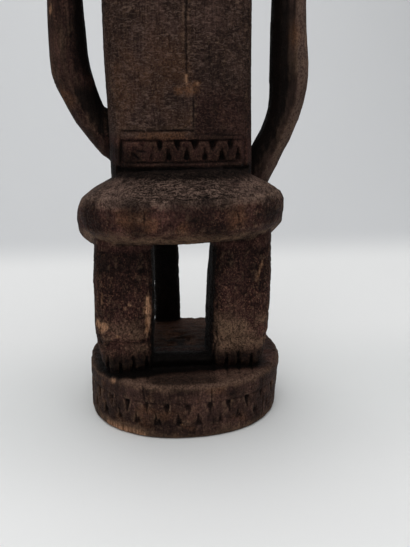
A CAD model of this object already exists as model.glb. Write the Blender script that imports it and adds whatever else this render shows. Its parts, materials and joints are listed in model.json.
"""Looks of the carved ancestor figure.

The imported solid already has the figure's outline, pose and chip-carved bands. This
script takes one copy of it, as a carver takes the roughed-out log, and works over its
surface: tool marks, raised grain, crackled patina, drying cracks, worn edges and chips
are cut into the mesh, and a dry dark wood is laid over it. Lengths are in millimetres,
and are turned to metres where they meet Blender. Left and right are the viewer's.
"""

import json
import logging
import math
from dataclasses import dataclass
from enum import Enum

import bpy
import numpy as np
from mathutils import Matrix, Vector

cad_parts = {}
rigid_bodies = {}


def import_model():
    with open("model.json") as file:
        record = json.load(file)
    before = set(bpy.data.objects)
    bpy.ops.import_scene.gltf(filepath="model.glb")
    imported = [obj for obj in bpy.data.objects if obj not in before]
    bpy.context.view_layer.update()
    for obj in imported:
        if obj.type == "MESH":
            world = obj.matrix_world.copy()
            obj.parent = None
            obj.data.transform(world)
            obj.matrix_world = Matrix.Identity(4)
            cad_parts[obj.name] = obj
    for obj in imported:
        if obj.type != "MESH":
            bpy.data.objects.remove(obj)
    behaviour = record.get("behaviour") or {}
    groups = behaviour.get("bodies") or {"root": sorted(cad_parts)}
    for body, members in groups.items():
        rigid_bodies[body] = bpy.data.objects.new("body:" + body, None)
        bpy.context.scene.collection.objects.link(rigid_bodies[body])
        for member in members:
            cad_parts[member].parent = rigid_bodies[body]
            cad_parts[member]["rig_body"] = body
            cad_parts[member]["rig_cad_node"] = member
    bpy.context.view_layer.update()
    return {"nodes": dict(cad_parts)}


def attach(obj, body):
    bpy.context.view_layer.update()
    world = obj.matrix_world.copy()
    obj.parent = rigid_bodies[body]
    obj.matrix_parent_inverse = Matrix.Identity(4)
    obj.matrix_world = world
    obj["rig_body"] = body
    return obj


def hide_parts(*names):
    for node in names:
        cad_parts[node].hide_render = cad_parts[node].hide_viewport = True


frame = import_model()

LOG = logging.getLogger("ancestor_figure")
MM = 0.001

Array = np.ndarray
Point = tuple[float, float, float]
Limit = tuple[float, ...]


def ramp(value: Array, low: float, high: float) -> Array:
    """Eases from 0 at low to 1 at high.

    Args:
        value: The numbers to ease.
        low: Where the ramp is 0. It may lie above high, and the ramp then falls.
        high: Where the ramp is 1.

    Returns:
        One number from 0 to 1 for each value.
    """
    share = np.clip((value - low) / (high - low), 0.0, 1.0)
    return share * share * (3.0 - 2.0 * share)


def meets(value: Array, limit: Limit) -> Array:
    """Says how far values meet a limit.

    Args:
        value: The numbers to test.
        limit: Two numbers are the start and end of a ramp. Three are the two ends of a
            band and their softness. Four are where a band's rise starts and ends, and
            where its fall does.

    Returns:
        One number from 0 to 1 for each value.
    """
    if len(limit) == 2:
        return ramp(value, *limit)
    if len(limit) == 3:
        low, high, soft = limit
        limit = (low - soft, low + soft, high - soft, high + soft)
    rise, full, fade, end = limit
    return ramp(value, rise, full) * ramp(value, end, fade)


class Hash(Enum):
    """Odd multipliers that scatter whole-number cells into even random draws."""

    ACROSS = 73856093
    DEEP = 19349663
    UP = 83492791
    SEED = 40503
    MIX = 1274126177
    MASK = 0xFFFFFFFF


@dataclass(frozen=True)
class Pattern:
    """A seeded pattern through the wood, stretched to the size of its features.

    Args:
        size: Feature size along X, Y and Z.
        seed: Picks the pattern, so that no two layers repeat each other.
        octaves: How many layers it has, each half the size and strength of the last.
    """

    size: Point
    seed: int
    octaves: int = 2

    SHIFT = 17.3
    MARGIN = 0.12

    def _draw(self, cell: Array, salt: int = 0) -> Array:
        """Draws one even random number from 0 to 1 for each whole-number cell.

        Args:
            cell: Whole-number cells, three columns.
            salt: Picks one of several draws for the same cell.

        Returns:
            One number for each cell.
        """
        mask = Hash.MASK.value
        mixed = cell[..., 0] * Hash.ACROSS.value
        mixed = mixed ^ (cell[..., 1] * Hash.DEEP.value)
        mixed = mixed ^ (cell[..., 2] * Hash.UP.value)
        mixed = (mixed ^ ((self.seed * 31 + salt) * Hash.SEED.value)) & mask
        mixed = ((mixed ^ (mixed >> 13)) * Hash.MIX.value) & mask
        mixed = ((mixed ^ (mixed >> 15)) * Hash.ACROSS.value) & mask
        return (mixed ^ (mixed >> 16)) / mask

    def smooth(self, points: Array) -> Array:
        """Returns soft noise from -1 to 1 at each place."""
        total = np.zeros(len(points))
        weight, reach = 1.0, 0.0
        scaled = points / np.array(self.size)
        for octave in range(self.octaves):
            cell = np.floor(scaled).astype(np.int64)
            share = scaled - cell
            share = share * share * (3.0 - 2.0 * share)
            value = np.zeros(len(points))
            for corner in range(8):
                step = np.array([corner & 1, (corner >> 1) & 1, corner >> 2])
                near = np.where(step, share, 1.0 - share).prod(axis=1)
                value += near * self._draw(cell + step, octave)
            total += weight * (2.0 * value - 1.0)
            reach += weight
            weight *= 0.5
            scaled = scaled * 2.0 + self.SHIFT
        return total / reach

    def cells(self, points: Array) -> tuple[Array, Array]:
        """Splits space into rounded cells about scattered seeds.

        Args:
            points: Places in millimetres.

        Returns:
            Distance to the nearest seed in cell sizes, and one random number from 0 to
            1 for its cell.
        """
        scaled = points / np.array(self.size)
        home = np.floor(scaled).astype(np.int64)
        nearest = np.full(len(points), 9.0)
        tone = np.zeros(len(points))
        for index in range(27):
            step = np.array([index % 3 - 1, index // 3 % 3 - 1, index // 9 - 1])
            cell = home + step
            seeds = np.stack([self._draw(cell, salt) for salt in (1, 2, 3)], axis=1)
            seeds = self.MARGIN + (1.0 - 2.0 * self.MARGIN) * seeds
            away = np.linalg.norm(cell + seeds - scaled, axis=1)
            tone = np.where(away < nearest, self._draw(cell, 4), tone)
            nearest = np.minimum(nearest, away)
        return nearest, tone


class Mark(Enum):
    """Named point values that the wood's material reads from the mesh."""

    HOLLOW = "hollow"
    WORN = "worn"
    DUST = "dust"
    SOOT = "soot"
    RAW = "raw"
    RUBBED = "rubbed"
    CRACKLE = "crackle"
    RIPPLED = "rippled"
    CREASED = "creased"


class Gauge(Enum):
    """What a zone's limits are set on.

    X, Y and Z are the place in millimetres, and SPREAD is its distance from the middle
    line. FACE_Y and FACE_Z say how far the surface faces back and up, FLANK to either
    side, SLANT up or down, and INWARD to the figure's middle.
    """

    X = "x"
    Y = "y"
    Z = "z"
    SPREAD = "spread"
    FACE_Y = "face_y"
    FACE_Z = "face_z"
    FLANK = "flank"
    SLANT = "slant"
    INWARD = "inward"


@dataclass
class Timber:
    """The figure's wood while it is worked: its mesh, and the mesh as arrays.

    Args:
        piece: The mesh object.
        middle: X of the figure's middle line.
    """

    piece: bpy.types.Object
    middle: float = -0.5

    def __post_init__(self) -> None:
        """Reads the mesh for the first time."""
        self.read()

    def read(self) -> None:
        """Reads the mesh into the arrays and clears the lift, marks and samples."""
        mesh = self.piece.data
        count = len(mesh.vertices)
        flat = np.zeros(count * 3)
        mesh.vertices.foreach_get("co", flat)
        self.points: Array = flat.reshape(-1, 3) / MM
        flat = np.zeros(count * 3)
        mesh.vertices.foreach_get("normal", flat)
        self.normals: Array = flat.reshape(-1, 3)
        self.lift: Array = np.zeros(count)
        self.marks: dict[Mark, Array] = {mark: np.zeros(count) for mark in Mark}
        self.samples: dict[Pattern, Array] = {}
        x, y, z = self.points.T
        face_x, face_y, face_z = self.normals.T
        self.gauges: dict[Gauge, Array] = {
            Gauge.X: x,
            Gauge.Y: y,
            Gauge.Z: z,
            Gauge.SPREAD: np.abs(x - self.middle),
            Gauge.FACE_Y: face_y,
            Gauge.FACE_Z: face_z,
            Gauge.FLANK: np.abs(face_x),
            Gauge.SLANT: np.abs(face_z),
            Gauge.INWARD: -np.sign(x) * face_x,
        }

    def sample(self, pattern: Pattern) -> Array:
        """Returns a pattern's value at each point, worked out once."""
        if pattern not in self.samples:
            self.samples[pattern] = pattern.smooth(self.points)
        return self.samples[pattern]

    def cut(self) -> None:
        """Moves the points by the lift along their normals and reads the mesh again."""
        moved = self.points + self.normals * self.lift[:, None]
        mesh = self.piece.data
        mesh.vertices.foreach_set("co", (moved * MM).ravel())
        mesh.update()
        self.read()

    def spread(self, values: Array, rounds: int) -> Array:
        """Averages values with their neighbours.

        Args:
            values: One row for each point.
            rounds: How many times each point is mixed half with its neighbours.

        Returns:
            The softened values.
        """
        mesh = self.piece.data
        flat = np.zeros(len(mesh.edges) * 2, np.int64)
        mesh.edges.foreach_get("vertices", flat)
        one, other = flat.reshape(-1, 2).T
        count = np.maximum(np.bincount(flat, minlength=len(values)), 1)
        columns = values.copy()
        for _ in range(rounds):
            for column in range(columns.shape[1]):
                value = columns[:, column]
                total = np.bincount(one, value[other], len(value))
                total += np.bincount(other, value[one], len(value))
                columns[:, column] = 0.5 * value + 0.5 * total / count
        return columns

    def paint(self, mark: Mark, share: Array) -> None:
        """Lays a mark over what is there, keeping the stronger of the two."""
        self.marks[mark] = np.maximum(self.marks[mark], np.clip(share, 0.0, 1.0))

    def store(self) -> None:
        """Writes the marks to the mesh as point attributes."""
        for mark, values in self.marks.items():
            layer = self.piece.data.attributes.new(mark.value, "FLOAT", "POINT")
            layer.data.foreach_set("value", values.astype(np.float32))


@dataclass(frozen=True)
class Zone:
    """A soft-edged stretch of the surface. Each field is a limit on the gauge of its name."""

    x: Limit = ()
    y: Limit = ()
    z: Limit = ()
    spread: Limit = ()
    face_y: Limit = ()
    face_z: Limit = ()
    flank: Limit = ()
    slant: Limit = ()
    inward: Limit = ()

    def share(self, timber: Timber, bent: Gauge = Gauge.Z, shift: Array | float = 0.0) -> Array:
        """Says how far inside the zone each point is.

        Args:
            timber: The wood.
            bent: A gauge to shift, so that its edges wander.
            shift: What is added to that gauge.

        Returns:
            One number from 0 to 1 for each point.
        """
        found = np.ones(len(timber.points))
        for gauge in Gauge:
            limit = getattr(self, gauge.value)
            if limit:
                value = timber.gauges[gauge] + (shift if gauge is bent else 0.0)
                found = found * meets(value, limit)
        return found


class Flaw:
    """A break, crack or cut in the surface.

    Args:
        depth: How deep it goes.
        strength: How strongly its inside is marked, from 0 to 1.
        mark: What its inside is marked as.
    """

    depth: float
    strength: float
    mark: Mark

    def share(self, points: Array) -> Array:
        """Returns 1 in the flaw's deepest place and 0 outside it."""
        raise NotImplementedError

    def carve(self, timber: Timber) -> None:
        """Sinks the flaw into the wood."""
        timber.lift -= self.depth * self.share(timber.points)

    def tint(self, timber: Timber) -> None:
        """Marks the flaw's inside."""
        timber.paint(self.mark, self.strength * self.share(timber.points))


@dataclass(frozen=True)
class Chip(Flaw):
    """A flake broken out of the surface.

    Args:
        place: Its middle, on the surface.
        width: Across, along X and Y.
        height: Up and down.
    """

    place: Point
    width: float
    height: float
    depth: float
    strength: float = 0.0
    mark: Mark = Mark.RAW

    EDGE = Pattern((2.6, 2.6, 3.4), 71)
    RAGGED = 0.42
    RIM = (1.05, 0.6)

    def share(self, points: Array) -> Array:
        """Returns 1 in the break's middle and 0 outside its ragged outline."""
        reach = np.array([self.width, self.width, self.height]) / 2.0
        away = np.linalg.norm((points - np.array(self.place)) / reach, axis=1)
        near = away < 2.0
        found = np.zeros(len(points))
        found[near] = ramp(away[near] + self.RAGGED * self.EDGE.smooth(points[near]), *self.RIM)
        return found


@dataclass(frozen=True)
class Crack(Flaw):
    """A drying crack that follows the grain, in one face of the wood.

    Args:
        start: One end, on the surface.
        end: The other end.
        width: Across its mouth.
        wander: How far it strays from its line.
    """

    start: Point
    end: Point
    width: float
    depth: float
    wander: float = 0.8
    strength: float = 0.9
    mark: Mark = Mark.HOLLOW

    STRAY = Pattern((9, 9, 9), 23)
    LIPS = 1.3
    TAPER = 4.0
    MARGIN = 6.0

    def share(self, points: Array, widen: float = 1.0) -> Array:
        """Says how far inside the crack each place is.

        Args:
            points: Places in millimetres.
            widen: Makes the crack this many times wider.

        Returns:
            1 on the crack's line, falling to 0 at its lips.
        """
        start, end = np.array(self.start), np.array(self.end)
        line = end - start
        along = (points - start) @ line / (line @ line)
        reach = self.width * widen / 2.0
        foot = start + np.clip(along, 0.0, 1.0)[:, None] * line
        offset = points - foot
        near = np.linalg.norm(offset, axis=1) < self.MARGIN + reach + self.wander
        found = np.zeros(len(points))
        stray = self.wander * self.STRAY.smooth(points[near])[:, None]
        side = np.cross(line, [0.0, 1.0, 0.0])
        side = side / max(np.linalg.norm(side), 1e-6)
        away = np.abs((offset[near] - side * stray) @ side)
        taper = np.clip(self.TAPER * np.minimum(along[near], 1.0 - along[near]), 0.0, 1.0)
        found[near] = ramp(away, reach, 0.0) * np.sqrt(taper)
        return found

    def tint(self, timber: Timber) -> None:
        """Marks the crack's inside and its lips."""
        timber.paint(self.mark, self.strength * self.share(timber.points, self.LIPS))


@dataclass(frozen=True)
class Notch(Flaw):
    """One three-cornered chip cut, flat at one end and pointed at the other.

    Args:
        place: The middle of the cut, on the surface.
        along: Level direction of the surface at the cut.
        width: Across the flat end.
        height: From the flat end to the point.
        points_up: Whether the point is the upper end.
    """

    place: Point
    along: tuple[float, float]
    width: float
    height: float
    depth: float
    points_up: bool
    strength: float = 0.85
    mark: Mark = Mark.HOLLOW

    ROUGH = Pattern((2.2, 2.2, 3), 91, 1)
    ROUGHNESS = 0.35
    NARROWING = 0.82
    BRIM = 1.25
    FLAT_END = (-0.4, 0.5)
    POINT_END = (0.3, -1.5)

    def share(self, points: Array) -> Array:
        """Returns 1 in the cut's deepest line and 0 outside it."""
        offset = points - np.array(self.place)
        near = np.linalg.norm(offset, axis=1) < self.height + self.width
        found = np.zeros(len(points))
        close = offset[near]
        across = close[:, 0] * self.along[0] + close[:, 1] * self.along[1]
        across += self.ROUGHNESS * self.ROUGH.smooth(points[near])
        rise = close[:, 2] if self.points_up else -close[:, 2]
        run = np.clip(0.5 + rise / self.height, 0.0, 1.0)
        reach = self.width / 2.0 * (1.0 - self.NARROWING * run)
        inside = np.clip(self.BRIM - np.abs(across) / reach, 0.0, 1.0)
        half = self.height / 2.0
        flat_end = ramp(rise, *(end - half for end in self.FLAT_END))
        point_end = ramp(rise, *(end + half for end in self.POINT_END))
        found[near] = inside * flat_end * point_end
        return found


@dataclass(frozen=True)
class Relief:
    """A relief that covers a stretch of the surface.

    Args:
        size: Width, depth and height of one feature.
        height: How far its features stand up or go down.
        seed: Picks the pattern.
    """

    size: Point
    height: float
    seed: int

    FAINT = 0.01

    def shape(self, points: Array) -> Array:
        """Returns the relief at each place, in shares of its height."""
        raise NotImplementedError

    def carve(self, timber: Timber, where: Array) -> None:
        """Cuts the relief, as strongly at each point as where says."""
        near = where > self.FAINT
        timber.lift[near] += where[near] * self.height * self.shape(timber.points[near])


class Strokes(Relief):
    """Shallow hollows that a blade leaves as it works along the wood."""

    STEEP = 1.6
    TILT = 0.5

    def shape(self, points: Array) -> Array:
        """Returns hollows with ridges between them, each a little higher or lower."""
        nearest, tone = Pattern(self.size, self.seed).cells(points)
        return self.STEEP * nearest**2 - 0.5 + self.TILT * (tone - 0.5)


class Crust(Relief):
    """A dried crust that has shrunk into grains, with winding cracks between them."""

    CRACK = 0.16
    PIT = (0.25, 0.6)
    DARK_PIT = (0.2, 0.6)
    PIT_DEPTH = 0.8
    PIT_DARKNESS = 0.7
    PIT_SEED = 40

    def shape(self, points: Array) -> Array:
        """Returns swollen grains, cracks and pits."""
        grains = Pattern(self.size, self.seed).smooth(points)
        pits = Pattern(self.size, self.seed + self.PIT_SEED).smooth(points)
        cracks = ramp(np.abs(grains), self.CRACK, 0.0)
        return 0.5 * grains - cracks - self.PIT_DEPTH * ramp(pits, *self.PIT)

    def tint(self, timber: Timber, where: Array) -> None:
        """Darkens the pits, and tells the material how far the crust covers each point."""
        pits = timber.sample(Pattern(self.size, self.seed + self.PIT_SEED))
        timber.paint(Mark.HOLLOW, where * self.PIT_DARKNESS * ramp(pits, *self.DARK_PIT))
        timber.paint(Mark.CRACKLE, where)


class Grain(Relief):
    """Fibres that stand proud where the softer wood between them has worn away."""

    DRIFT = (26.0, 26.0, 60.0)
    SWAY = 2.0

    def shape(self, points: Array) -> Array:
        """Returns fibres that drift a little to and fro as they run."""
        drift = Pattern(self.DRIFT, self.seed + 7, 1).smooth(points)[:, None]
        fibre = Pattern(self.size, self.seed).smooth(points + self.SWAY * drift)
        return 0.5 - np.abs(fibre)


class Face(Enum):
    """Which of a part's surfaces something is on."""

    WHOLE = "whole"
    WALL = "wall"
    TOP = "top"
    ANY = "anywhere"


Spots = tuple[tuple[Point, float | Point], ...]


@dataclass(frozen=True)
class Stain:
    """One layer of a mark, where its zone, patches and spots let it show.

    Args:
        mark: The mark.
        strength: Its value where it is strongest.
        zone: Where on its faces it lies.
        faces: The part's faces that it lies on.
        pattern: What breaks it up.
        patch: Limit on the pattern's value.
        edges: What shifts its edges, if that is another pattern.
        bend: How far the edges of its zone are shifted.
        bent: The gauge that they are shifted on.
        spots: Middle and reach of each rounded spot that it is gathered in.
        fray: How far the spots' edges are shifted, in shares of their reach.
        rim: Shares of a spot's reach between which it fades in.
        least: Share of its strength outside its patches and spots.
        scrubs: Whether it takes the mark away instead.
    """

    mark: Mark
    strength: float
    zone: Zone = Zone()
    faces: tuple[Face, ...] = (Face.WHOLE,)
    pattern: Pattern | None = None
    patch: Limit = ()
    edges: Pattern | None = None
    bend: float = 0.0
    bent: Gauge = Gauge.Z
    spots: Spots = ()
    fray: float = 0.0
    rim: Limit = (1.1, 0.35)
    least: float = 0.0
    scrubs: bool = False

    def lay(self, timber: Timber, where: Array | float = 1.0) -> None:
        """Lays the mark on the wood.

        Args:
            timber: The wood.
            where: How far each point is on the faces, from 0 to 1.
        """
        value = timber.sample(self.pattern) if self.pattern else 0.0
        edge = timber.sample(self.edges) if self.edges else value
        shown = meets(value, self.patch) if self.patch else 1.0
        if self.spots:
            gathered = np.zeros(len(timber.points))
            for place, reach in self.spots:
                offset = (timber.points - np.array(place)) / np.array(reach)
                away = np.linalg.norm(offset, axis=1) + self.fray * edge
                gathered = np.maximum(gathered, ramp(away, *self.rim))
            shown = shown * gathered
        inside = self.zone.share(timber, self.bent, self.bend * edge)
        share = self.strength * where * inside * (self.least + (1.0 - self.least) * shown)
        if self.scrubs:
            timber.marks[self.mark] *= 1.0 - share
        else:
            timber.paint(self.mark, share)


Shares = tuple[tuple[Face, float], ...]
Reliefs = tuple[tuple[Relief, Shares], ...]
WHOLE: Shares = ((Face.WHOLE, 1.0),)
WALL: Shares = ((Face.WALL, 1.0),)
TOP: Shares = ((Face.TOP, 1.0),)


@dataclass
class Part:
    """What every part of the figure has: faces, reliefs, flaws and stains.

    Args:
        whole: Where the part is, unless its wall and top are worked apart.
        wall: Its upright faces.
        top: Its upper face.
        anywhere: No limit at all.
        reliefs: Its reliefs, with how strongly each face takes them.
        crust: The one of them that shows as a crackled skin.
        crackle: How strongly each face shows that skin.
        flaws: Its breaks, cracks and single cuts.
        stains: What marks it.
    """

    whole: Zone = Zone()
    wall: Zone = Zone()
    top: Zone = Zone()
    anywhere: Zone = Zone()
    reliefs: Reliefs = ()
    crust: Crust | None = None
    crackle: Shares = ()
    flaws: tuple[Flaw, ...] = ()
    stains: tuple[Stain, ...] = ()

    def face(self, timber: Timber, face: Face) -> Array:
        """Returns 1 on one of the part's faces and 0 off it."""
        return getattr(self, face.value).share(timber)

    def cover(self, timber: Timber, shares: Shares) -> Array:
        """Returns the sum of the part's faces, each with its share."""
        return sum(share * self.face(timber, face) for face, share in shares)

    def notches(self) -> list[Notch]:
        """Lays out the part's rows of chip cuts, of which it may have none."""
        return []

    def carve(self, timber: Timber) -> None:
        """Cuts the part's reliefs and flaws."""
        for relief, shares in self.reliefs:
            relief.carve(timber, self.cover(timber, shares))
        for flaw in (*self.flaws, *self.notches()):
            flaw.carve(timber)

    def tint(self, timber: Timber) -> None:
        """Marks the part's crust, stains and flaws."""
        if self.crust:
            self.crust.tint(timber, self.cover(timber, self.crackle))
        for stain in self.stains:
            faces = [self.face(timber, face) for face in stain.faces]
            stain.lay(timber, np.max(faces, axis=0))
        for flaw in (*self.flaws, *self.notches()):
            flaw.tint(timber)


@dataclass
class DrumBase(Part):
    """Drum that the figure stands on: gouged top, rubbed rim, chip-carved wall."""

    height: float = 39.0
    half_width: float = 70.0
    half_depth: float = 66.0
    squareness: float = 2.2
    foot_centre: tuple[float, float] = (0.4, -0.2)
    top_centre: tuple[float, float] = (2.3, 2.1)
    chips_round: int = 30
    phase: float = -0.22
    rows: tuple[tuple[float, float, bool], ...] = ((20.9, 0, False), (14.3, 0.5, True))
    chip_stray: float = 0.6
    narrow_share: float = 0.78
    narrow: tuple[float, float] = (1.9, 2.9)
    wide: tuple[float, float] = (3.8, 5.2)
    tall: tuple[float, float] = (7.0, 10.5)
    deep: tuple[float, float] = (0.4, 1.5)
    wall: Zone = Zone(z=(40.5, 38.5), slant=(0.75, 0.45))
    top: Zone = Zone(z=(34, 41.5, 1), face_z=(0.45, 0.8))
    crust: Crust = Crust((3.4, 3.4, 4.2), 0.26, 6)
    crackle: Shares = ((Face.WALL, 0.44), (Face.TOP, 0.44))
    reliefs: Reliefs = (
        (Strokes((9, 9, 16), 0.35, 4), WALL),
        (Grain((1.9, 1.9, 26), 0.3, 5), WALL),
        (crust, ((Face.WALL, 0.5), (Face.TOP, 0.5))),
        (Strokes((24, 5.5, 9), 0.5, 3), TOP),
    )
    flaws: tuple[Flaw, ...] = (
        Chip((-51.9, -44, 36.2), 5.6, 5, 0.7, 0.75),
        Chip((-6.6, -63.9, 10.1), 2.6, 2.6, 0.4, 0.9),
        Chip((40.5, -50, 38.4), 7, 3.4, 0.8),
        Chip((-68.5, 4, 36.5), 9, 6, 1),
        Chip((18, 66.5, 37), 12, 5, 1.1),
        Chip((60, 26, 2), 10, 5, 0.9, 0.3),
        Crack((-11.9, 15.1, 39), (12.2, 14.6, 39), 2.2, 1.3, 1.4),
        Crack((-16.8, 24, 39), (9.1, 23.3, 39), 1.8, 0.9, 1.4),
        Crack((-19.1, -17.8, 47.8), (0.5, -20.9, 47.6), 2.4, 1.3, 1.4),
        Crack((-14, 34, 39), (3, 36, 39), 1.6, 0.7, 1.4),
        Crack((1, 2, 40.6), (13, 4, 40.2), 1.8, 0.8, 1.4),
        Crack((-18, 5, 39.4), (-4, 6.5, 39.2), 1.8, 0.9, 1.4),
        Crack((15, -63.4, 8), (14, -63.6, 37), 1.4, 0.7),
        Crack((-31, -57.6, 26), (-32, -57.4, 38), 1.2, 0.7),
        Crack((52, -46.4, 3), (53, -45.4, 24), 1.3, 0.8),
        Crack((-4, 67.4, 0), (-2, 68.4, 39), 2, 1.6),
        Crack((-69, 12, 6), (-68.5, 13, 34), 1.5, 1.1),
    )
    worn = Pattern((9, 9, 4), 41)
    blotch = Pattern((16, 16, 9), 49, 3)
    stray = Pattern((14, 9, 9), 48)
    stains: tuple[Stain, ...] = (
        Stain(Mark.DUST, 0.45, Zone(y=(-38, -50)), (Face.TOP,)),
        Stain(Mark.RUBBED, 0.3, Zone(y=(-38, -50)), (Face.TOP,)),
        Stain(Mark.WORN, 0.6, Zone(z=(36, 42, 1.5)), (Face.WALL, Face.TOP), scrubs=True),
        Stain(Mark.RAW, 1, Zone(x=(0, -45), z=(7, 2)), (Face.ANY,), worn, (-0.15, 0.3)),
        Stain(Mark.RUBBED, 0.45, Zone(y=(4, 14)), (Face.TOP,)),
        Stain(Mark.RUBBED, 0.48, Zone(), (Face.WALL,), blotch, (0.1, 0.55)),
        Stain(Mark.SOOT, 0.5, Zone(), (Face.WALL,), blotch, (-0.05, -0.45)),
        Stain(Mark.SOOT, 0.34, Zone(x=(30, 5), z=(17, 11)), (Face.WALL,)),
    )
    gathered: Zone = Zone(x=(-64, 56, 7), y=(12, -6))
    toe_line: Limit = (-45, -40)
    left: Limit = (-5, -30)
    left_lead: float = 5.0
    straying: float = 2.5
    hollow: Limit = (10, -20)
    hollow_share: float = 0.7

    def notches(self) -> list[Notch]:
        """Lays out the two rows of chip cuts, in even steps round the drum.

        Returns:
            The cuts, each a little different, as they are by hand.
        """
        turn = np.linspace(0.0, 2.0 * math.pi, 1441) - 0.5 * math.pi
        power = 2.0 / self.squareness
        across, deep = np.cos(turn), np.sin(turn)
        x = np.sign(across) * self.half_width * np.abs(across) ** power
        y = np.sign(deep) * self.half_depth * np.abs(deep) ** power
        girth = np.concatenate([[0.0], np.cumsum(np.hypot(np.diff(x), np.diff(y)))])
        pitch = girth[-1] / self.chips_round
        chance = np.random.default_rng(7)
        cuts: list[Notch] = []
        for middle, shift, points_up in self.rows:
            share = middle / self.height
            centre_x = self.foot_centre[0] * (1.0 - share) + self.top_centre[0] * share
            centre_y = self.foot_centre[1] * (1.0 - share) + self.top_centre[1] * share
            for index in range(self.chips_round):
                stray = chance.uniform(-self.chip_stray, self.chip_stray)
                at = ((index + shift + self.phase) * pitch + stray) % girth[-1]
                here = np.array([np.interp(at, girth, x), np.interp(at, girth, y)])
                ahead = (at + 1.0) % girth[-1]
                there = np.array([np.interp(ahead, girth, x), np.interp(ahead, girth, y)])
                along = (there - here) / np.linalg.norm(there - here)
                place = (here[0] + centre_x, here[1] + centre_y, middle)
                narrow = chance.uniform() <= self.narrow_share
                width = chance.uniform(*(self.narrow if narrow else self.wide))
                tall, depth = chance.uniform(*self.tall), chance.uniform(*self.deep)
                cuts.append(Notch(place, (along[0], along[1]), width, tall, depth, points_up))
        return cuts

    def tint(self, timber: Timber) -> None:
        """Marks the drum, and the soot that has gathered on its top round the feet."""
        super().tint(timber)
        x, y, _ = timber.points.T
        edge = self.straying * timber.sample(self.stray)
        reach = y + edge + self.left_lead * ramp(x, *self.left)
        soot = self.face(timber, Face.TOP) * self.gathered.share(timber)
        soot = soot * ramp(reach, *self.toe_line)
        timber.paint(Mark.SOOT, soot)
        timber.paint(Mark.HOLLOW, self.hollow_share * soot * ramp(x, *self.hollow))


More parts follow.
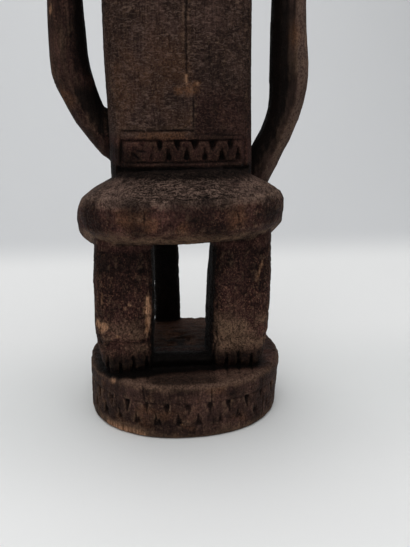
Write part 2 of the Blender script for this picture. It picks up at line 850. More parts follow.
@dataclass
class Legs(Part):
    """Two block legs with notched feet, and the prop behind them."""

    foot: float = 39.0
    toe_middles: tuple[float, float] = (-41.6, 31.9)
    toe_pitch: float = 8.9
    toe_front: float = -40.0
    toe_stray: float = 0.4
    toe_heights: tuple[float, float] = (10.0, 14.5)
    slit: tuple[float, float] = (3, 1.6)
    whole: Zone = Zone(z=(39, 126, 1.5))
    crust: Crust = Crust((3.2, 3.2, 3.6), 0.42, 12)
    crackle: Shares = WHOLE
    reliefs: Reliefs = (
        (Strokes((11, 11, 15), 0.42, 11), WHOLE),
        (crust, WHOLE),
        (Grain((2, 2, 20), 0.18, 13), WHOLE),
    )
    flaws: tuple[Flaw, ...] = (
        Chip((-60.8, -34.6, 74.6), 7, 7, 0.8, 1),
        Chip((-56.4, -38.8, 74), 7.4, 7.6, 0.8, 1),
        Chip((-58.4, -37.6, 70.4), 5, 4, 0.6, 0.9),
        Chip((-26.2, -37.4, 90.6), 5, 9, 0.7, 1),
        Chip((-26.6, -37.6, 83.6), 7, 8.6, 0.8, 1),
        Chip((-26.6, -38, 76.4), 5, 8.6, 0.8, 1),
        Chip((-27.4, -38.5, 69.6), 4.4, 7.6, 0.5, 1),
        Chip((-39.1, -40, 88.9), 3.4, 2.4, 0.4, 0.6),
        Chip((-41.8, -40.2, 87), 2.6, 2, 0.3, 0.5),
        Chip((-47.3, -40.7, 66.8), 3.6, 2.2, 0.3, 0.8),
        Chip((60.5, -34, 120), 5, 6, 0.8),
        Chip((62, -26, 98), 4, 9, 0.6),
        Chip((20, -40.5, 96), 3, 5, 0.5, 0.3),
        Crack((-57, -39.6, 84), (-56, -40.3, 101), 1.1, 0.6, 0.5),
        Crack((-61.6, -10, 60), (-61.2, -12, 112), 1.4, 1),
        Crack((60.5, -20, 70), (60.8, -22, 110), 1.4, 1),
        Crack((-7, 67.8, 45), (-6, 63.6, 108), 1.3, 1),
        Crack((52.5, -36.7, 117.6), (47.6, -38.9, 101.4), 1.8, 0.25, 0.5, 0.7, Mark.RAW),
        Crack((-57.4, -37.4, 89), (-56.6, -37, 98), 1.1, 0.2, 0.5, 0.7, Mark.RAW),
    )
    ragged = Pattern((9, 9, 7), 45)
    toes_foot = Zone(z=(57, 48.5), face_y=(0, -0.5))
    front = (-0.4, -0.8)
    ankle = (52, 78, 6)
    right_ankle = Zone(x=(6, 12), z=ankle, face_y=front)
    right_shin = Zone(x=(6, 12, 26, 42), z=(78, 104, 8), face_y=front)
    left_ankle = Zone(x=(-6, -12), z=ankle, face_y=front)
    stains: tuple[Stain, ...] = (
        Stain(Mark.SOOT, 1, Zone(y=(-12, 4))),
        Stain(Mark.SOOT, 1, Zone(x=(-36, -28, 24, 32), flank=(0.45, 0.85))),
        Stain(Mark.SOOT, 1, Zone(face_y=(-0.1, 0.4))),
        Stain(Mark.SOOT, 0.63, Zone(x=(1, -1), z=(88, 124))),
        Stain(Mark.SOOT, 0.42, Zone(x=(-1, 1), z=(88, 124))),
        Stain(Mark.SOOT, 0.86, toes_foot),
        Stain(Mark.CRACKLE, 0.6, toes_foot),
        Stain(Mark.WORN, 0.9, right_ankle, pattern=ragged, patch=(-0.5, 0.2), bend=3),
        Stain(Mark.WORN, 0.6, right_shin, pattern=ragged, patch=(-0.2, 0.4), bend=4),
        Stain(Mark.WORN, 0.5, left_ankle, pattern=ragged, patch=(-0.3, 0.4), bend=3),
    )
    sill: Zone = Zone(x=(-27, 19, 2), y=(10, -6), z=(52, 50))
    sill_top: Zone = Zone(y=(-30, -22), face_z=(0.3, 0.75))
    spared: float = 0.8
    sill_hollow: float = 0.8

    def notches(self) -> list[Notch]:
        """Lays out the slits that part the toes."""
        chance = np.random.default_rng(19)
        cuts: list[Notch] = []
        for middle in self.toe_middles:
            for step in (-1.5, -0.5, 0.5, 1.5):
                stray = chance.uniform(-self.toe_stray, self.toe_stray)
                x = middle + step * self.toe_pitch + stray
                tall = chance.uniform(*self.toe_heights)
                place = (x, self.toe_front, self.foot + tall / 2.0)
                cuts.append(Notch(place, (1.0, 0.0), self.slit[0], tall, self.slit[1], True))
        return cuts

    def tint(self, timber: Timber) -> None:
        """Marks the legs, and the sill between the feet, less dark on its top."""
        super().tint(timber)
        sill = self.face(timber, Face.WHOLE) * self.sill.share(timber)
        sill = sill * (1.0 - self.spared * self.sill_top.share(timber))
        timber.paint(Mark.SOOT, sill)
        timber.paint(Mark.HOLLOW, self.sill_hollow * sill)


@dataclass
class Skirt(Part):
    """Thick round skirt: dusty fibrous top, darker wall, rubbed lower edge."""

    wall: Zone = Zone(z=(125, 162, 2), face_z=(0.62, 0.3))
    top: Zone = Zone(z=(148, 178, 2), face_z=(0.3, 0.62))
    crust: Crust = Crust((3, 3, 3.2), 0.24, 24)
    crackle: Shares = ((Face.WALL, 0.6),)
    reliefs: Reliefs = (
        (Grain((9, 2.2, 2.2), 0.45, 21), TOP),
        (Strokes((15, 15, 12), 0.4, 22), ((Face.TOP, 0.7), (Face.WALL, 1))),
        (Grain((1.9, 1.9, 16), 0.26, 23), WALL),
        (crust, ((Face.WALL, 1), (Face.TOP, 0.35))),
    )
    flaws: tuple[Flaw, ...] = (
        Chip((-70.5, -14, 133), 7, 6, 0.8),
        Chip((64, -24, 131), 6, 5, 0.6),
        Chip((12, 63, 140), 14, 7, 1),
        Chip((-40, 54, 127), 9, 6, 1, 0.3),
        Crack((-49.6, -49, 145), (-49, -47, 160), 1.1, 0.5),
        Crack((-28, -56.4, 147), (-28.6, -55, 159), 0.9, 0.4),
        Crack((33, -54.6, 141), (32, -55, 154), 0.9, 0.4),
        Crack((20, 62, 128), (21, 61, 156), 1.6, 1.3),
        Crack((72.6, 10, 132), (72.4, 12, 154), 1.5, 1.1),
    )
    smudges: Spots = (
        ((-34, -54, 160), 12),
        ((-7, -56, 161), 11),
        ((11, -56.6, 159), 12),
        ((24, -55, 161), 9),
        ((-33, -54.7, 142), 8),
        ((17, -55, 141), 11),
        ((54, -43, 150), 12),
        ((-60, -39, 148), 13),
        ((4, -57, 150), 8),
    )
    rubbed: Spots = (
        ((-35, -55, 151), 12),
        ((-24, -57, 146), 7),
        ((30, -56, 152), 11),
        ((-4, -57, 144), 6),
    )
    creased: Spots = (((-4, -45, 0), (48, 48, 1e6)),)
    crease_rim = (1, 20 / 48)
    specks = Pattern((5, 5, 5), 46, 3)
    wrinkles = Pattern((7, 3.2, 3.2), 47, 3)
    ragged = Pattern((7, 7, 6), 42)
    patchy = Pattern((3.6, 3.6, 3), 50)
    smudged = Zone(z=(134, 164, 3))
    rim = Zone(z=(146, 170, 3), face_z=(0.05, 0.35))
    hem = Zone(z=(126, 139, 3), face_z=(-0.97, -0.8, -0.35, -0.05))
    stains: tuple[Stain, ...] = (
        Stain(
            Mark.SOOT, 0.6, smudged, (Face.ANY,), specks, spots=smudges, fray=0.6, rim=(1.2, 0.3)
        ),
        Stain(Mark.HOLLOW, 0.75, Zone(), (Face.TOP,), wrinkles, (-0.12, -0.02, 0.02, 0.12)),
        Stain(Mark.SOOT, 0.35, Zone(), (Face.TOP,), wrinkles, (0.15, 0.5)),
        Stain(Mark.DUST, 1, Zone(), (Face.TOP,), specks, (-0.75, 0.05)),
        Stain(
            Mark.CREASED, 0.9, Zone(), (Face.TOP,), spots=creased, rim=crease_rim, least=1 / 3
        ),
        Stain(Mark.DUST, 0.75, rim, (Face.ANY,), specks, (-0.5, 0.3)),
        Stain(Mark.RUBBED, 0.6, Zone(), (Face.WALL,), ragged, spots=rubbed, fray=0.5),
        Stain(Mark.WORN, 1, hem, (Face.ANY,), patchy, (-0.6, 0.15), ragged, 1.5),
        Stain(Mark.SOOT, 0.45, hem, (Face.ANY,), patchy, (-0.1, -0.5), ragged, 1.5),
    )


@dataclass
class Torso(Part):
    """Flat-fronted column of the body, with its midline and the chip-carved belt."""

    belt_pitch: float = 11.5
    belt_shift: float = 1.3
    belt_front: float = -32.4
    belt_ends: tuple[float, float] = (-18, 37)
    belt_depth: float = 1.9
    belt_strays: tuple[float, float] = (0.5, 0.4)
    belt_widths: tuple[float, float] = (0.8, 1.35)
    belt_rows: tuple[tuple[float, float, float, float, bool], ...] = (
        (193.4, 6.6, 4.8, 0.5, False),
        (188.4, 8.8, 4.4, 0, True),
    )
    whole: Zone = Zone(x=(-53.5, -51.5, 49.5, 51.5), z=(172, 336, 3))
    crust: Crust = Crust((4, 4, 2), 0.2, 33)
    crackle: Shares = ((Face.WHOLE, 0.25),)
    reliefs: Reliefs = (
        (Strokes((11, 11, 48), 0.3, 31), WHOLE),
        (Grain((2, 2, 24), 0.26, 32), WHOLE),
        (crust, WHOLE),
    )
    flaws: tuple[Flaw, ...] = (
        Chip((-48, -26, 262), 5, 10, 0.7),
        Chip((46, -26, 240), 4, 8, 0.6),
        Chip((4.2, -33.3, 228.6), 3.6, 3, 0.5, 0.4),
        Chip((1.3, -33.3, 235.6), 2.7, 10.5, 0.4, 0.9),
        Chip((8.2, -33.2, 232.4), 2.6, 2.4, 0.3, 0.45),
        Chip((30, 38, 255), 8, 14, 0.9),
        Crack((6.2, -33, 202), (5.6, -33, 226), 1.4, 0.8, 0.3),
        Crack((1.4, -33, 244), (2.3, -33, 326), 1.5, 0.7, 2),
        Crack((-8, 38.6, 190), (-5, 38.6, 318), 1.9, 1.4, 1.8),
        Crack((20, 38.6, 205), (22, 38.6, 270), 1.4, 1, 1),
        Crack((-49.4, 2, 200), (-49.4, 4, 300), 1.6, 1.2, 1),
        Crack((47, 6, 190), (47.4, 4, 280), 1.6, 1.2, 1),
        Crack((-41, -27, 203), (-24.5, -31.4, 203.4), 1.6, 0.7, 0.3),
        Crack((-24.5, -31.4, 203), (5.6, -33, 203.4), 1.8, 0.9, 0.3),
        Crack((6.4, -33, 201), (40.5, -28, 199.8), 1.8, 0.9, 0.4),
        Crack((-40.6, -27, 196.9), (-14, -32.6, 197.3), 2.2, 1.3, 0.4),
        Crack((-14, -32.6, 197), (38.5, -29, 197), 1.8, 0.9, 0.4),
        Crack((-40, -27.4, 183), (41, -28, 183), 1.9, 1.2, 0.4),
        Crack((-40.8, -26.6, 198), (-41.6, -26, 180), 2.8, 1.4, 0.3),
        Crack((-34.4, -30.4, 189.6), (-29, -31.4, 184.8), 2.6, 1.6, 0.3),
        Crack((-33, -30.6, 191.6), (-23, -32.2, 189.6), 1.8, 1, 0.3),
    )
    rubbed: Spots = (
        ((4, -33.3, 229.6), (5, 6, 3.4)),
        ((-3, -33.3, 228.4), (3, 6, 2.4)),
        ((7.6, -33.3, 232.2), (3.4, 6, 2.4)),
    )
    ragged = Pattern((9, 9, 14), 43)
    front = (-0.5, -0.8)
    left = Zone(x=(-52, 5, 3), z=(198, 262, 20), face_y=front)
    strip = Zone(x=(-30, 5.2, 1), z=(197.8, 202.6, 0.6), face_y=front)
    low_right = Zone(x=(3, 8), z=(262, 215))
    stains: tuple[Stain, ...] = (
        Stain(Mark.RIPPLED, 1, Zone(z=(196, 204))),
        Stain(Mark.SOOT, 0.75, Zone(y=(-22, 4), flank=(0.5, 0.9))),
        Stain(Mark.RUBBED, 0.3, left, (Face.ANY,), ragged, (-0.45, 0.5)),
        Stain(Mark.RUBBED, 0.8, pattern=ragged, spots=rubbed, fray=0.7, rim=(1.3, 0.3)),
        Stain(Mark.RUBBED, 0.55, strip, (Face.ANY,), ragged, (-0.9, 0.2)),
        Stain(Mark.WORN, 0.75, Zone(z=(168, 172, 203, 208)), scrubs=True),
        Stain(Mark.CRACKLE, 0.6, Zone(z=(206, 196))),
        Stain(Mark.SOOT, 0.4, low_right),
        Stain(Mark.CRACKLE, 0.5, low_right),
        Stain(Mark.SOOT, 0.93, Zone(z=(172, 181.5, 2.5))),
    )
    belt: Zone = Zone(z=(168, 172, 190, 198))
    belt_left: Zone = Zone(x=(-18, -28))
    belt_soot: tuple[float, float, float] = (0.34, 0.3, 0.25)

    def notches(self) -> list[Notch]:
        """Lays out the belt's two rows of chip cuts, points down over points up."""
        chance = np.random.default_rng(5)
        aside, above = self.belt_strays
        cuts: list[Notch] = []
        for z, tall, wide, half_step, points_up in self.belt_rows:
            for index in range(-4, 4):
                x = (index + half_step) * self.belt_pitch + self.belt_shift
                x += chance.uniform(-aside, aside)
                if self.belt_ends[0] <= x <= self.belt_ends[1]:
                    place = (x, self.belt_front, z + chance.uniform(-above, above))
                    width = wide * chance.uniform(*self.belt_widths)
                    cut = Notch(place, (1.0, 0.0), width, tall, self.belt_depth, points_up)
                    cuts.append(cut)
        return cuts

    def tint(self, timber: Timber) -> None:
        """Marks the body, and the belt's uneven soot, which is darkest at its left end."""
        super().tint(timber)
        even, uneven, left = self.belt_soot
        soot = even + uneven * timber.sample(self.ragged) + left * self.belt_left.share(timber)
        belt = self.face(timber, Face.WHOLE) * self.belt.share(timber)
        timber.paint(Mark.SOOT, belt * soot)


@dataclass
class Arms(Part):
    """Thin free arms, cut with long strokes and dark on the side next to the body."""

    whole: Zone = Zone(z=(168, 336, 4), spread=(49.5, 51.5))
    reliefs: Reliefs = (
        (Strokes((8.5, 8.5, 34), 0.45, 51), WHOLE),
        (Grain((1.9, 1.9, 26), 0.34, 52), WHOLE),
    )
    flaws: tuple[Flaw, ...] = (
        Chip((-83, 1, 233.5), 5, 5, 1),
        Chip((-81.4, -6.7, 277), 4, 9, 0.3, 0.9),
        Chip((-66, -8, 208), 5, 6, 0.5, 0.2),
        Chip((84, 2, 262), 4, 12, 0.6),
        Chip((80, 6, 214), 5, 9, 0.8),
        Crack((-79, 11, 240), (-79, 11, 300), 1.4, 0.8),
        Crack((80.5, 9, 226), (80, 9, 290), 1.4, 0.8),
    )
    rubbed: Spots = (
        ((74, -10, 262), 8),
        ((-76, -5, 222), 8),
    )
    streaks = Pattern((3, 3, 26), 44, 3)
    right = (-10, 10)
    left = (10, -10)
    upper = (226, 240)
    lower = (240, 226)
    right_inner = Zone(x=right, inward=(0.05, 0.4))
    right_round = Zone(x=right, inward=(-0.4, 0.1))
    left_upper = Zone(x=left, z=upper, inward=(0, 0.6))
    left_lower = Zone(x=left, z=lower, inward=(-0.35, 0.1))
    right_outer = Zone(x=right, inward=(-0.1, -0.6))
    stains: tuple[Stain, ...] = (
        Stain(Mark.SOOT, 1, right_inner, pattern=streaks, bend=0.22, bent=Gauge.INWARD),
        Stain(Mark.SOOT, 0.7, right_round, pattern=streaks, bend=0.22, bent=Gauge.INWARD),
        Stain(Mark.SOOT, 1, left_upper, pattern=streaks, bend=0.22, bent=Gauge.INWARD),
        Stain(Mark.SOOT, 1, left_lower, pattern=streaks, bend=0.22, bent=Gauge.INWARD),
        Stain(Mark.SOOT, 0.6, Zone(x=left), pattern=streaks, patch=(-0.3, 0.4), least=1 / 3),
        Stain(Mark.SOOT, 0.22, Zone(x=right, z=lower)),
        Stain(Mark.SOOT, 0.8, Zone(face_y=(0, 0.5))),
        Stain(Mark.CRACKLE, 0.5, Zone(x=left)),
        Stain(Mark.DUST, 0.55, Zone(x=right, inward=(-0.05, -0.5))),
        Stain(Mark.WORN, 0.7, right_outer, pattern=streaks, patch=(0.05, 0.5)),
        Stain(Mark.RUBBED, 0.8, pattern=streaks, spots=rubbed, fray=0.5),
    )


@dataclass
class Head(Part):
    """Neck, face and cap of hair, which the photograph doesn't show, left plainer."""

    whole: Zone = Zone(z=(332, 340))
    reliefs: Reliefs = (
        (Strokes((8, 8, 11), 0.22, 61), WHOLE),
        (Grain((1.9, 1.9, 18), 0.18, 62), WHOLE),
    )


@dataclass(frozen=True)
class Tone:
    """A colour written as sRGB hex, the way a paint card gives it."""

    code: str

    def linear(self) -> tuple[float, float, float, float]:
        """Returns the colour as linear RGBA."""
        parts = [int(self.code[i : i + 2], 16) / 255.0 for i in (1, 3, 5)]
        bent = [c / 12.92 if c <= 0.04045 else ((c + 0.055) / 1.055) ** 2.4 for c in parts]
        return (bent[0], bent[1], bent[2], 1.0)


@dataclass(frozen=True)
class Weave:
    """A noise through a material, with features of a size along X, Y and Z."""

    size: Point
    detail: float
    roughness: float
    bend: float = 0.0


@dataclass(frozen=True)
class Ease:
    """A noise, a mark or a place, eased from one span onto another.

    Args:
        source: What is eased.
        low: Value that gives to_low.
        high: Value that gives to_high.
        to_low: Result at low.
        to_high: Result at high.
    """

    source: Weave | Mark | Gauge
    low: float
    high: float
    to_low: float = 0.0
    to_high: float = 1.0


Socket = bpy.types.NodeSocket
Factor = Weave | Mark | Gauge | Ease | float


@dataclass(frozen=True)
class Coat:
    """One tone over what lies under it.

    Args:
        tone: The tone.
        factors: What its share is the product of.
        kind: How the two are mixed.
        over: Coats on the tone itself.
    """

    tone: Tone
    factors: tuple[Factor, ...]
    kind: str = "MIX"
    over: tuple["Coat", ...] = ()


class Shop:
    """A material's node tree while it is put together."""

    def __init__(self, name: str) -> None:
        """Starts an empty material of that name."""
        self.material = bpy.data.materials.new(name)
        self.material.use_nodes = True
        self.tree = self.material.node_tree
        self.tree.nodes.clear()
        place = self.add("TexCoord").outputs["Object"]
        mm = self.add("VectorMath", {"operation": "SCALE"}, i0=place, Scale=1.0 / MM)
        self.place: Socket = mm.outputs[0]
        self.made: dict[Factor, Socket] = {}

    def add(self, kind: str, settings: dict | None = None, **sockets: object) -> bpy.types.Node:
        """Adds a node with its settings and what goes into it.

        Args:
            kind: Blender's name for the node, without ShaderNode.
            settings: The node's own properties.
            **sockets: Input names, with _ for a space, or i and a number for an input
                by its place. Each is a value, or an output socket to link.

        Returns:
            The node.
        """
        node = self.tree.nodes.new("ShaderNode" + kind)
        for name, value in (settings or {}).items():
            setattr(node, name, value)
        for name, value in sockets.items():
            by_place = name[0] == "i" and name[1:].isdigit()
            key = int(name[1:]) if by_place else name.replace("_", " ")
            if isinstance(value, Socket):
                self.tree.links.new(value, node.inputs[key])
            else:
                node.inputs[key].default_value = value
        return node

    def value(self, factor: Factor) -> Socket | float:
        """Puts together what a factor stands for, once.

        Args:
            factor: A noise, a mark, a place, one of them eased, or a number.

        Returns:
            The socket that carries it, or the number.
        """
        if isinstance(factor, float):
            return factor
        if factor not in self.made:
            if isinstance(factor, Weave):
                scale = tuple(1.0 / length for length in factor.size)
                placed = self.add("Mapping", Vector=self.place, Scale=scale)
                node = self.add(
                    "TexNoise",
                    Vector=placed.outputs[0],
                    Scale=1.0,
                    Detail=factor.detail,
                    Roughness=factor.roughness,
                    Distortion=factor.bend,
                )
                self.made[factor] = node.outputs["Fac"]
            elif isinstance(factor, Mark):
                node = self.add("Attribute", {"attribute_name": factor.value})
                self.made[factor] = node.outputs["Fac"]
            elif isinstance(factor, Gauge):
                node = self.add("SeparateXYZ", Vector=self.place)
                self.made[factor] = node.outputs[factor.value.upper()]
            else:
                node = self.add(
                    "MapRange",
                    {"interpolation_type": "SMOOTHSTEP"},
                    i0=self.value(factor.source),
                    i1=factor.low,
                    i2=factor.high,
                    i3=factor.to_low,
                    i4=factor.to_high,
                )
                self.made[factor] = node.outputs[0]
        return self.made[factor]

    def sum(self, terms: tuple[tuple[Factor, ...], ...]) -> Socket | float:
        """Adds up the products of some factors.

        Args:
            terms: The factors of each product.

        Returns:
            The sum's socket, or the number if it is one.
        """
        total: Socket | float | None = None
        for factors in terms:
            product = self.value(factors[0])
            for factor in factors[1:]:
                share = self.value(factor)
                times = self.add("Math", {"operation": "MULTIPLY"}, i0=product, i1=share)
                product = times.outputs[0]
            if total is not None:
                plus = self.add("Math", {"operation": "ADD"}, i0=total, i1=product)
                product = plus.outputs[0]
            total = product
        return total

    def lay(self, colour: object, coats: tuple[Coat, ...]) -> object:
        """Lays coats over a colour.

        Args:
            colour: The colour, as a socket or as linear RGBA.
            coats: The coats, the lowest first.

        Returns:
            The mixed colour, or the colour itself if there are no coats.
        """
        for coat in coats:
            mixed = self.add(
                "Mix",
                {"data_type": "RGBA", "blend_type": coat.kind, "clamp_factor": True},
                i0=self.sum((coat.factors,)),
                i6=colour,
                i7=self.lay(coat.tone.linear(), coat.over),
            )
            colour = mixed.outputs[2]
        return colour


@dataclass(frozen=True)
class DryPatinatedWood:
    """Dense hardwood, cut with a blade and never varnished, dark from smoke and hands.

    The eye reads it as nearly black in the hollows, dull brown with pale raised fibres
    on open faces, greyer where dust lies, and warm tan where a flake has come away.
    """

    name: str = "dry_patinated_wood"
    bark: Tone = Tone("#382822")
    ior: float = 1.5
    gloss: float = 0.08
    bump: float = 1.2

    soot = Tone("#050302")
    smoke = Tone("#150c09")
    dust = Tone("#836c60")
    russet = Tone("#704c34")
    worn = Tone("#826752")
    heart = Tone("#c09474")
    umber = Tone("#533e37")
    flush = Tone("#ffe0e2")

    fibres = Weave((1.2, 1.2, 20), 4, 0.62, 0.25)
    flecks = Weave((0.8, 0.8, 1.1), 2, 0.6)
    pebbles = Weave((1.15, 1.15, 1.38), 3, 0.6)
    mottle = Weave((17, 17, 23.8), 4, 0.6, 0.4)
    broad = Weave((55, 55, 80), 2, 0.5)
    grains = Weave((2.5, 2.5, 2.875), 3, 0.6, 0.5)
    clumps = Weave((7, 7, 8), 3, 0.6, 0.3)
    ripples = Weave((3.4, 3.4, 1.5), 2, 0.55, 1.2)
    folds = Weave((10, 2.6, 2.6), 3, 0.6, 0.7)
    joints = (Ease(grains, 0.455, 0.5), Ease(grains, 0.545, 0.5))
    creases = (Ease(folds, 0.44, 0.5), Ease(folds, 0.56, 0.5), Mark.CREASED)
    crusted = Ease(Mark.CRACKLE, 0.0, 1.0, 0.25, 1.0)
    scattered = Ease(clumps, 0.4, 0.62, 0.35, 1.0)

    coats: tuple[Coat, ...] = (
        Coat(umber, (Ease(mottle, 0.36, 0.66),)),
        Coat(smoke, (Ease(broad, 0.6, 0.4, 0.0, 0.4),)),
        Coat(smoke, (Ease(clumps, 0.5, 0.34, 0.0, 0.4),)),
        Coat(smoke, (Ease(fibres, 0.54, 0.36, 0.0, 0.5),)),
        Coat(smoke, (crusted, Ease(pebbles, 0.49, 0.32, 0.0, 0.85))),
        Coat(smoke, (Mark.RIPPLED, Ease(ripples, 0.5, 0.36, 0.0, 0.6))),
        Coat(dust, (Mark.RIPPLED, Ease(ripples, 0.52, 0.66, 0.0, 0.3))),
        Coat(worn, (crusted, scattered, Ease(pebbles, 0.52, 0.68, 0.0, 0.75))),
        Coat(flush, (Ease(Mark.CRACKLE, 0.3, 0.6),), "MULTIPLY"),
        Coat(russet, (Mark.RUBBED, Ease(pebbles, 0.34, 0.6, 0.2, 0.9))),
        Coat(worn, (Mark.WORN, Ease(pebbles, 0.3, 0.58, 0.35, 0.9), 0.85)),
        Coat(dust, (Mark.DUST, Ease(pebbles, 0.38, 0.6, 0.1, 0.75))),
        Coat(soot, creases),
        Coat(soot, (*joints, Mark.CRACKLE, 0.8)),
        Coat(soot, (Mark.SOOT, 0.94)),
        Coat(soot, (Mark.HOLLOW, 0.95)),
        Coat(
            russet,
            (Mark.RAW, Ease(pebbles, 0.3, 0.5, 0.3, 1.0)),
            over=(Coat(heart, (Ease(fibres, 0.35, 0.62),)),),
        ),
    )
    heights: tuple[tuple[Factor, ...], ...] = (
        (fibres, 0.25),
        (pebbles, 0.3),
        (ripples, Ease(Mark.RIPPLED, 0.0, 1.0, 0.2, 0.7)),
        (flecks, 0.12),
        (*joints, -0.14),
        (*creases, -0.3),
    )
    dull: tuple[Ease, Ease] = (
        Ease(flecks, 0.35, 0.7, 0.6, 0.85),
        Ease(Mark.DUST, 0.0, 1.0, 0.6, 0.95),
    )

    def build(self) -> bpy.types.Material:
        """Puts the material's nodes together and returns it."""
        shop = Shop(self.name)
        bare, dusty = (shop.value(ease) for ease in self.dull)
        rough = shop.add("Math", {"operation": "MAXIMUM"}, i0=bare, i1=dusty)
        height = shop.sum(self.heights)
        bump = shop.add("Bump", Strength=1.0, Distance=self.bump * MM, Height=height)
        skin = shop.add(
            "BsdfPrincipled",
            Base_Color=shop.lay(self.bark.linear(), self.coats),
            Roughness=rough.outputs[0],
            IOR=self.ior,
            Specular_IOR_Level=self.gloss,
            Normal=bump.outputs[0],
        )
        shop.add("OutputMaterial", Surface=skin.outputs[0])
        return shop.material


@dataclass(frozen=True)
class MattPaper:
    """Uncoated background paper, which the eye reads as a pale ground without shine.

    It is lightest in front of the figure, and each coat comes in further back.
    """

    name: str = "matt_paper"
    near: Tone = Tone("#ebebea")
    fades: tuple[Coat, ...] = (
        Coat(Tone("#d9dad9"), (Ease(Gauge.Y, -150.0, -10.0),)),
        Coat(Tone("#e3e3e2"), (Ease(Gauge.Y, 10.0, 150.0),)),
        Coat(Tone("#c8c9ca"), (Ease(Gauge.Y, 350.0, 520.0),)),
    )
    tooth: Weave = Weave((3.85, 3.85, 3.85), 3, 0.5)
    relief: float = 0.1
    roughness: float = 0.85

    def build(self) -> bpy.types.Material:
        """Puts the material's nodes together and returns it."""
        shop = Shop(self.name)
        height = shop.value(self.tooth)
        bump = shop.add("Bump", Strength=0.05, Distance=self.relief * MM, Height=height)
        skin = shop.add(
            "BsdfPrincipled",
            Base_Color=shop.lay(self.near.linear(), self.fades),
            Roughness=self.roughness,
            Normal=bump.outputs[0],
        )
        shop.add("OutputMaterial", Surface=skin.outputs[0])
        return shop.material


@dataclass
class CarvedFigure:
    """The whole figure, one piece of wood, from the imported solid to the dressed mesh."""

    node: str = "ancestor_figure"
    name: str = "ancestor_figure_carving"
    body: str = "root"
    slot: str = "carved_wood"
    weld: float = 0.02
    voxel: float = 1.05
    soften: int = 3
    faces: int = 197000
    near_rounds: int = 6
    far_rounds: int = 40
    parts: tuple[type[Part], ...] = (DrumBase, Legs, Skirt, Torso, Arms, Head)
    under: Stain = Stain(Mark.SOOT, 0.8, Zone(face_z=(-0.6, -0.95)))
    unworn_head: Stain = Stain(Mark.WORN, 0.75, Zone(z=(318, 330)), scrubs=True)
    wood: DryPatinatedWood = DryPatinatedWood()

    def rough_out(self) -> bpy.types.Object:
        """Copies the solid, merges its loose faces and gives it an even skin.

        Returns:
            The new piece.
        """
        source = frame["nodes"][self.node]
        bpy.ops.object.select_all(action="DESELECT")
        piece = source.copy()
        piece.data = source.data.copy()
        piece.name = self.name
        piece.data.name = self.name
        piece.parent = None
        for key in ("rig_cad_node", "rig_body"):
            if key in piece:
                del piece[key]
        bpy.context.scene.collection.objects.link(piece)
        piece.select_set(True)
        bpy.context.view_layer.objects.active = piece
        piece.data.materials.clear()
        bpy.ops.object.mode_set(mode="EDIT")
        bpy.ops.mesh.select_all(action="SELECT")
        bpy.ops.mesh.remove_doubles(threshold=self.weld * MM)
        bpy.ops.object.mode_set(mode="OBJECT")
        piece.data.remesh_voxel_size = self.voxel * MM
        bpy.ops.object.voxel_remesh()
        smooth = piece.modifiers.new("soften", "SMOOTH")
        smooth.factor = 0.5
        smooth.iterations = self.soften
        bpy.ops.object.modifier_apply(modifier=smooth.name)
        return piece

    def thin(self, piece: bpy.types.Object) -> None:
        """Takes faces away where the surface needs few."""
        bpy.ops.object.modifier_add(type="TRIANGULATE")
        bpy.ops.object.modifier_apply(modifier=piece.modifiers[-1].name)
        fewer = piece.modifiers.new("thin", "DECIMATE")
        fewer.ratio = min(1.0, self.faces / len(piece.data.polygons))
        bpy.ops.object.modifier_apply(modifier=fewer.name)

    def weather(self, timber: Timber) -> None:
        """Marks what the years did: dirt in the hollows, wear on the edges."""
        near = timber.points - timber.spread(timber.points, self.near_rounds)
        far = timber.points - timber.spread(timber.points, self.far_rounds)
        fine = (near * timber.normals).sum(axis=1)
        wide = (far * timber.normals).sum(axis=1)
        for mark, bulge, limit, strength in (
            (Mark.HOLLOW, fine, (-0.1, -0.5), 0.8),
            (Mark.HOLLOW, wide, (-0.7, -2.2), 1.0),
            (Mark.WORN, fine, (0.12, 0.5), 0.7),
            (Mark.WORN, wide, (0.7, 2.2), 0.6),
        ):
            timber.paint(mark, strength * ramp(bulge, *limit))
        self.under.lay(timber)
        self.unworn_head.lay(timber)

    def build(self) -> bpy.types.Object:
        """Makes, works and dresses the piece.

        Returns:
            The finished piece.
        """
        piece = self.rough_out()
        LOG.info("%s roughed out with %d points", piece.name, len(piece.data.vertices))
        timber = Timber(piece)
        parts = [kind() for kind in self.parts]
        for part in parts:
            part.carve(timber)
            LOG.info("%s carved", type(part).__name__)
        timber.cut()
        self.thin(piece)
        timber.read()
        self.weather(timber)
        for part in parts:
            part.tint(timber)
        timber.store()
        bpy.ops.object.shade_smooth()
        piece.data.materials.append(self.wood.build())
        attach(piece, self.body)
        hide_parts(self.node)
        return piece


@dataclass(frozen=True)
class Lamp:
    """One soft square lamp, with its side length and its power in watts."""

    name: str
    place: Point
    aim: Point
    size: float
    power: float

    def hang(self) -> None:
        """Hangs the lamp."""
        data = bpy.data.lights.new(self.name, "AREA")
        data.shape = "SQUARE"
        data.size = self.size * MM
        data.energy = self.power
        lamp = bpy.data.objects.new(self.name, data)
        bpy.context.scene.collection.objects.link(lamp)
        lamp.location = Vector(self.place) * MM
        look = Vector(self.aim) - Vector(self.place)
        lamp.rotation_euler = look.to_track_quat("-Z", "Y").to_euler()


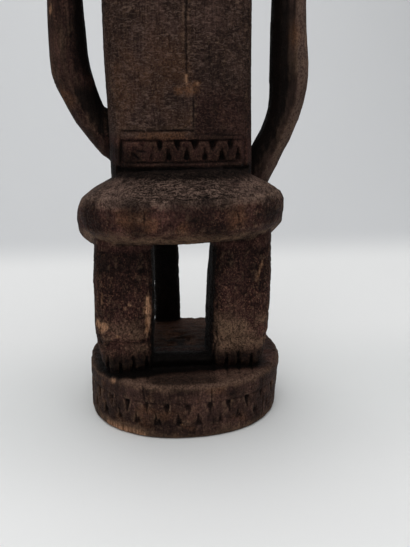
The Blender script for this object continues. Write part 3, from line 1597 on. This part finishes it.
@dataclass
class Studio:
    """Plain pale sweep, soft lights and the camera."""

    camera_place: Point = (-39.8, -464.6, 238.5)
    camera_pitch: float = 73.22
    camera_yaw: float = -7.0
    lens: float = 43.75
    clip: tuple[float, float] = (0.01, 20)
    half_width: float = 3000.0
    front: float = -3000.0
    bend_start: float = 420.0
    bend_radius: float = 900.0
    wall_height: float = 1500.0
    bend_steps: int = 40
    paper: MattPaper = MattPaper()
    lamps: tuple[Lamp, ...] = (
        Lamp("softbox_over", (0, -200, 1600), (0, 0, 100), 1600, 19),
        Lamp("softbox_front", (-200, -1500, 1100), (0, 0, 200), 1200, 7),
        Lamp("softbox_paper", (-150, 600, 1850), (0, 1320, 1100), 900, 11),
    )
    haze: Tone = Tone("#d5dae0")
    air: float = 0.22

    def hang_paper(self) -> None:
        """Lays the sweep: a floor that curves up into a wall behind the figure."""
        rows: list[tuple[float, float]] = [(self.front, 0.0)]
        for step in range(self.bend_steps + 1):
            turn = math.pi / 2 * step / self.bend_steps
            along = self.bend_start + self.bend_radius * math.sin(turn)
            rows.append((along, self.bend_radius * (1.0 - math.cos(turn))))
        rows.append((rows[-1][0], self.bend_radius + self.wall_height))
        bpy.ops.object.select_all(action="DESELECT")
        bpy.ops.mesh.primitive_grid_add(x_subdivisions=1, y_subdivisions=len(rows) - 1, size=1.0)
        paper = bpy.context.object
        paper.name = "paper_sweep"
        for vertex in paper.data.vertices:
            row = round((vertex.co.y + 0.5) * (len(rows) - 1))
            side = self.half_width * (1.0 if vertex.co.x > 0 else -1.0)
            vertex.co = Vector((side, *rows[row])) * MM
        bpy.ops.object.shade_smooth()
        paper.data.materials.append(self.paper.build())

    def light(self) -> None:
        """Hangs the lamps and lights the air."""
        for lamp in self.lamps:
            lamp.hang()
        world = bpy.data.worlds.new("soft_room")
        world.use_nodes = True
        air = world.node_tree.nodes["Background"]
        air.inputs["Color"].default_value = self.haze.linear()
        air.inputs["Strength"].default_value = self.air
        bpy.context.scene.world = world

    def set_camera(self) -> None:
        """Sets the camera where the photograph was taken from."""
        data = bpy.data.cameras.new("camera")
        data.lens = self.lens
        data.clip_start, data.clip_end = self.clip
        camera = bpy.data.objects.new("camera", data)
        bpy.context.scene.collection.objects.link(camera)
        camera.location = Vector(self.camera_place) * MM
        turn = (math.radians(self.camera_pitch), 0.0, math.radians(self.camera_yaw))
        camera.rotation_euler = turn
        bpy.context.scene.camera = camera

    def build(self) -> None:
        """Sets up the paper, the lamps and the camera, and reports them."""
        self.hang_paper()
        self.light()
        self.set_camera()
        bpy.context.scene.view_settings.view_transform = "Standard"
        LOG.info("studio set up with %d lamps", len(self.lamps))


def main() -> None:
    """Builds the figure and the studio, and reports each piece."""
    logging.basicConfig(level=logging.INFO, format="%(message)s")
    Studio().build()
    piece = CarvedFigure().build()
    LOG.info("%s has %d faces", piece.name, len(piece.data.polygons))


if __name__ == "__main__":
    main()
